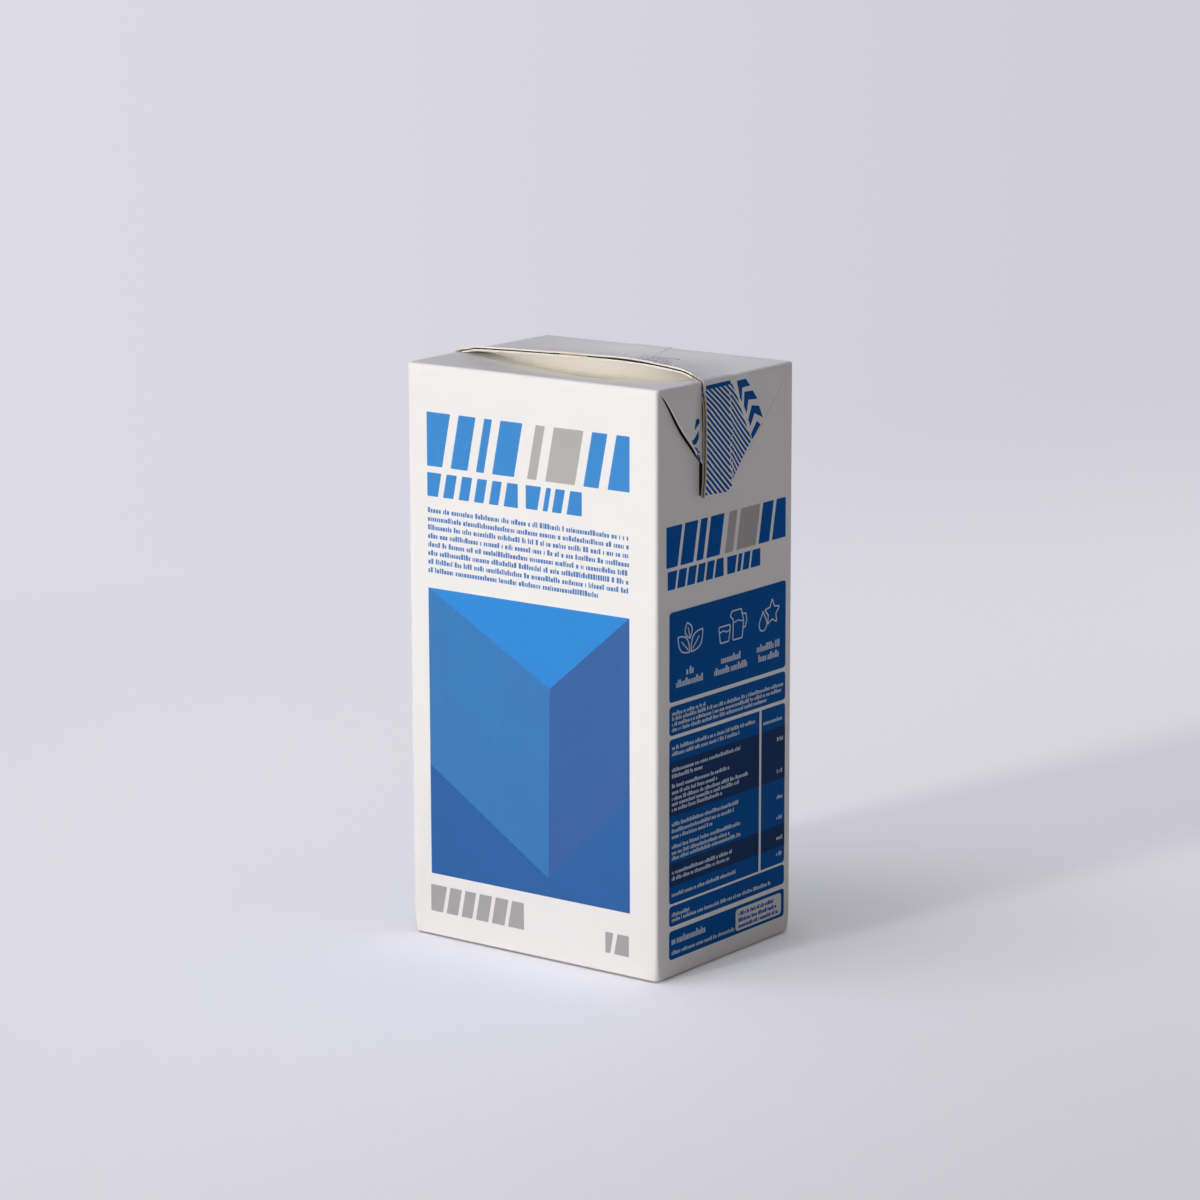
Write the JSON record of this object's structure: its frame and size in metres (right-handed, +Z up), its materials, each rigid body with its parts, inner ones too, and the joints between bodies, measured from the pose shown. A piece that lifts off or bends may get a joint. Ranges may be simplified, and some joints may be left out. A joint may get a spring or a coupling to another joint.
{
  "type": "milk carton",
  "caption": "Shut brick-shaped paperboard pack of milk, with a folded seal fin across its sunken lid and triangular ears turned down on its sides.",
  "frame": {"origin": "on the plane the pack stands on, under the middle of its base", "axes": "+Z up, the printed front faces -Y, the side ears are on +X and -X, and the back seam faces +Y"},
  "size_m": [0.095, 0.0675, 0.1767],
  "materials": {
    "carton": "satin"
  },
  "bodies": {
    "root": {"carton": "carton"}
  },
  "joints": []
}
